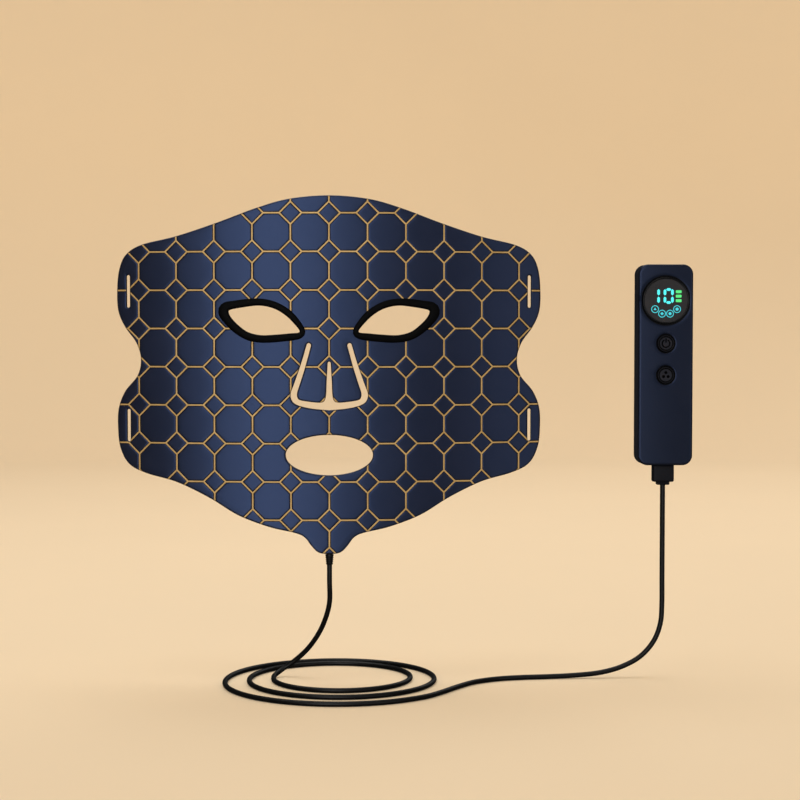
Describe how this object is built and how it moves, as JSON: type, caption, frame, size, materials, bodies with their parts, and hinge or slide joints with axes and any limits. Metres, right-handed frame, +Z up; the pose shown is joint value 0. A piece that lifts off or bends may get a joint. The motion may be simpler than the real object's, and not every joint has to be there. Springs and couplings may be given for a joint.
{
  "type": "led face mask",
  "caption": "Flexible light therapy face mask: patterned silicone sheet with eye, nose and mouth openings, strap slots, and a chin cord to a hand controller.",
  "frame": {"origin": "on the face side of the sheet, on its centre line, level with the nose bridge", "axes": "+X across the face to the controller's side, +Y back towards the wearer, +Z up; the front faces -Y"},
  "size_m": [0.3171, 0.1257, 0.2665],
  "materials": {
    "navy_silicone": "satin, slightly marbled, with soft padded cells",
    "gold_print": "metallic gold lines printed along the cell edges",
    "clear_silicone": "translucent, matte",
    "gasket_rubber": "black, matte",
    "circuit_film": "white film",
    "light_chip": "pale chip with a phosphor dome",
    "circuit_board": "solder mask green",
    "lead_wire": "thin insulated wire",
    "cord_jacket": "satin black",
    "plug_overmould": "satin black",
    "connector_steel": "bright plated steel",
    "case_plastic": "satin dark navy, finely textured",
    "ring_plastic": "gloss black",
    "panel_plastic": "smoked",
    "glow_cyan": "lit",
    "glow_green": "lit",
    "chip_black": "moulded epoxy",
    "cell_foil": "crinkled foil pouch",
    "foam": "open cell foam",
    "symbol_print": "printed grey"
  },
  "bodies": {
    "mask": {"front_skin": "navy_silicone", "rear_skin": "clear_silicone", "flex_circuit": "circuit_film", "light_chips": "light_chip", "eye_gasket_left": "gasket_rubber", "eye_gasket_right": "gasket_rubber", "junction_board": "circuit_board", "lead_wires": "lead_wire", "chin_gland": "cord_jacket", "cord": "cord_jacket", "plug_body": "plug_overmould", "plug_shell": "connector_steel"},
    "left_wing": {"front_skin_left": "navy_silicone", "rear_skin_left": "clear_silicone", "flex_circuit_left": "circuit_film", "light_chips_left": "light_chip"},
    "right_wing": {"front_skin_right": "navy_silicone", "rear_skin_right": "clear_silicone", "flex_circuit_right": "circuit_film", "light_chips_right": "light_chip"},
    "left_nose_flap": {"nose_flap_left": "navy_silicone", "nose_liner_left": "clear_silicone"},
    "right_nose_flap": {"nose_flap_right": "navy_silicone", "nose_liner_right": "clear_silicone"},
    "controller": {"case_front": "case_plastic", "case_back": "case_plastic", "display_ring": "ring_plastic", "display_panel": "panel_plastic", "digit_segments": "glow_cyan", "battery_bars": "glow_green", "mode_icons": "glow_cyan", "display_board": "circuit_board", "main_board": "circuit_board", "board_chips": "chip_black", "tact_switches": "connector_steel", "battery": "cell_foil", "battery_foam": "foam", "battery_leads": "lead_wire", "usb_socket": "connector_steel", "case_screws": "connector_steel"},
    "power_key": {"power_button": "case_plastic", "power_symbol": "symbol_print"},
    "mode_key": {"mode_button": "case_plastic", "mode_symbol": "symbol_print"}
  },
  "joints": [
    {"name": "left_temple_fold", "type": "hinge", "parent": "mask", "child": "left_wing", "pos_m": [-0.084, 0.00892, 0.004], "axis": [0, 0, -1], "range_deg": [0, 35], "stiffness_Nm_per_rad": 0.03},
    {"name": "right_temple_fold", "type": "hinge", "parent": "mask", "child": "right_wing", "pos_m": [0.084, 0.00892, 0.004], "axis": [0, 0, 1], "range_deg": [0, 35], "stiffness_Nm_per_rad": 0.03},
    {"name": "left_nose_fold", "type": "hinge", "parent": "mask", "child": "left_nose_flap", "pos_m": [-0.0054, -0.002, 0.00675], "axis": [-0.6842, 0, 0.7293], "range_deg": [0, 28], "stiffness_Nm_per_rad": 0.02},
    {"name": "right_nose_fold", "type": "hinge", "parent": "mask", "child": "right_nose_flap", "pos_m": [0.0054, -0.002, 0.00675], "axis": [-0.6842, 0, -0.7293], "range_deg": [0, 28], "stiffness_Nm_per_rad": 0.02},
    {"name": "controller_unplug", "type": "slide", "parent": "mask", "child": "controller", "axis": [0, 0, 1], "range_m": [0, 0.02]},
    {"name": "power_button_press", "type": "slide", "parent": "controller", "child": "power_key", "axis": [0, 1, 0], "range_m": [0, 0.0006], "stiffness_N_per_m": 1500, "springref_m": -0.0002},
    {"name": "mode_button_press", "type": "slide", "parent": "controller", "child": "mode_key", "axis": [0, 1, 0], "range_m": [0, 0.0006], "stiffness_N_per_m": 1500, "springref_m": -0.0002}
  ]
}
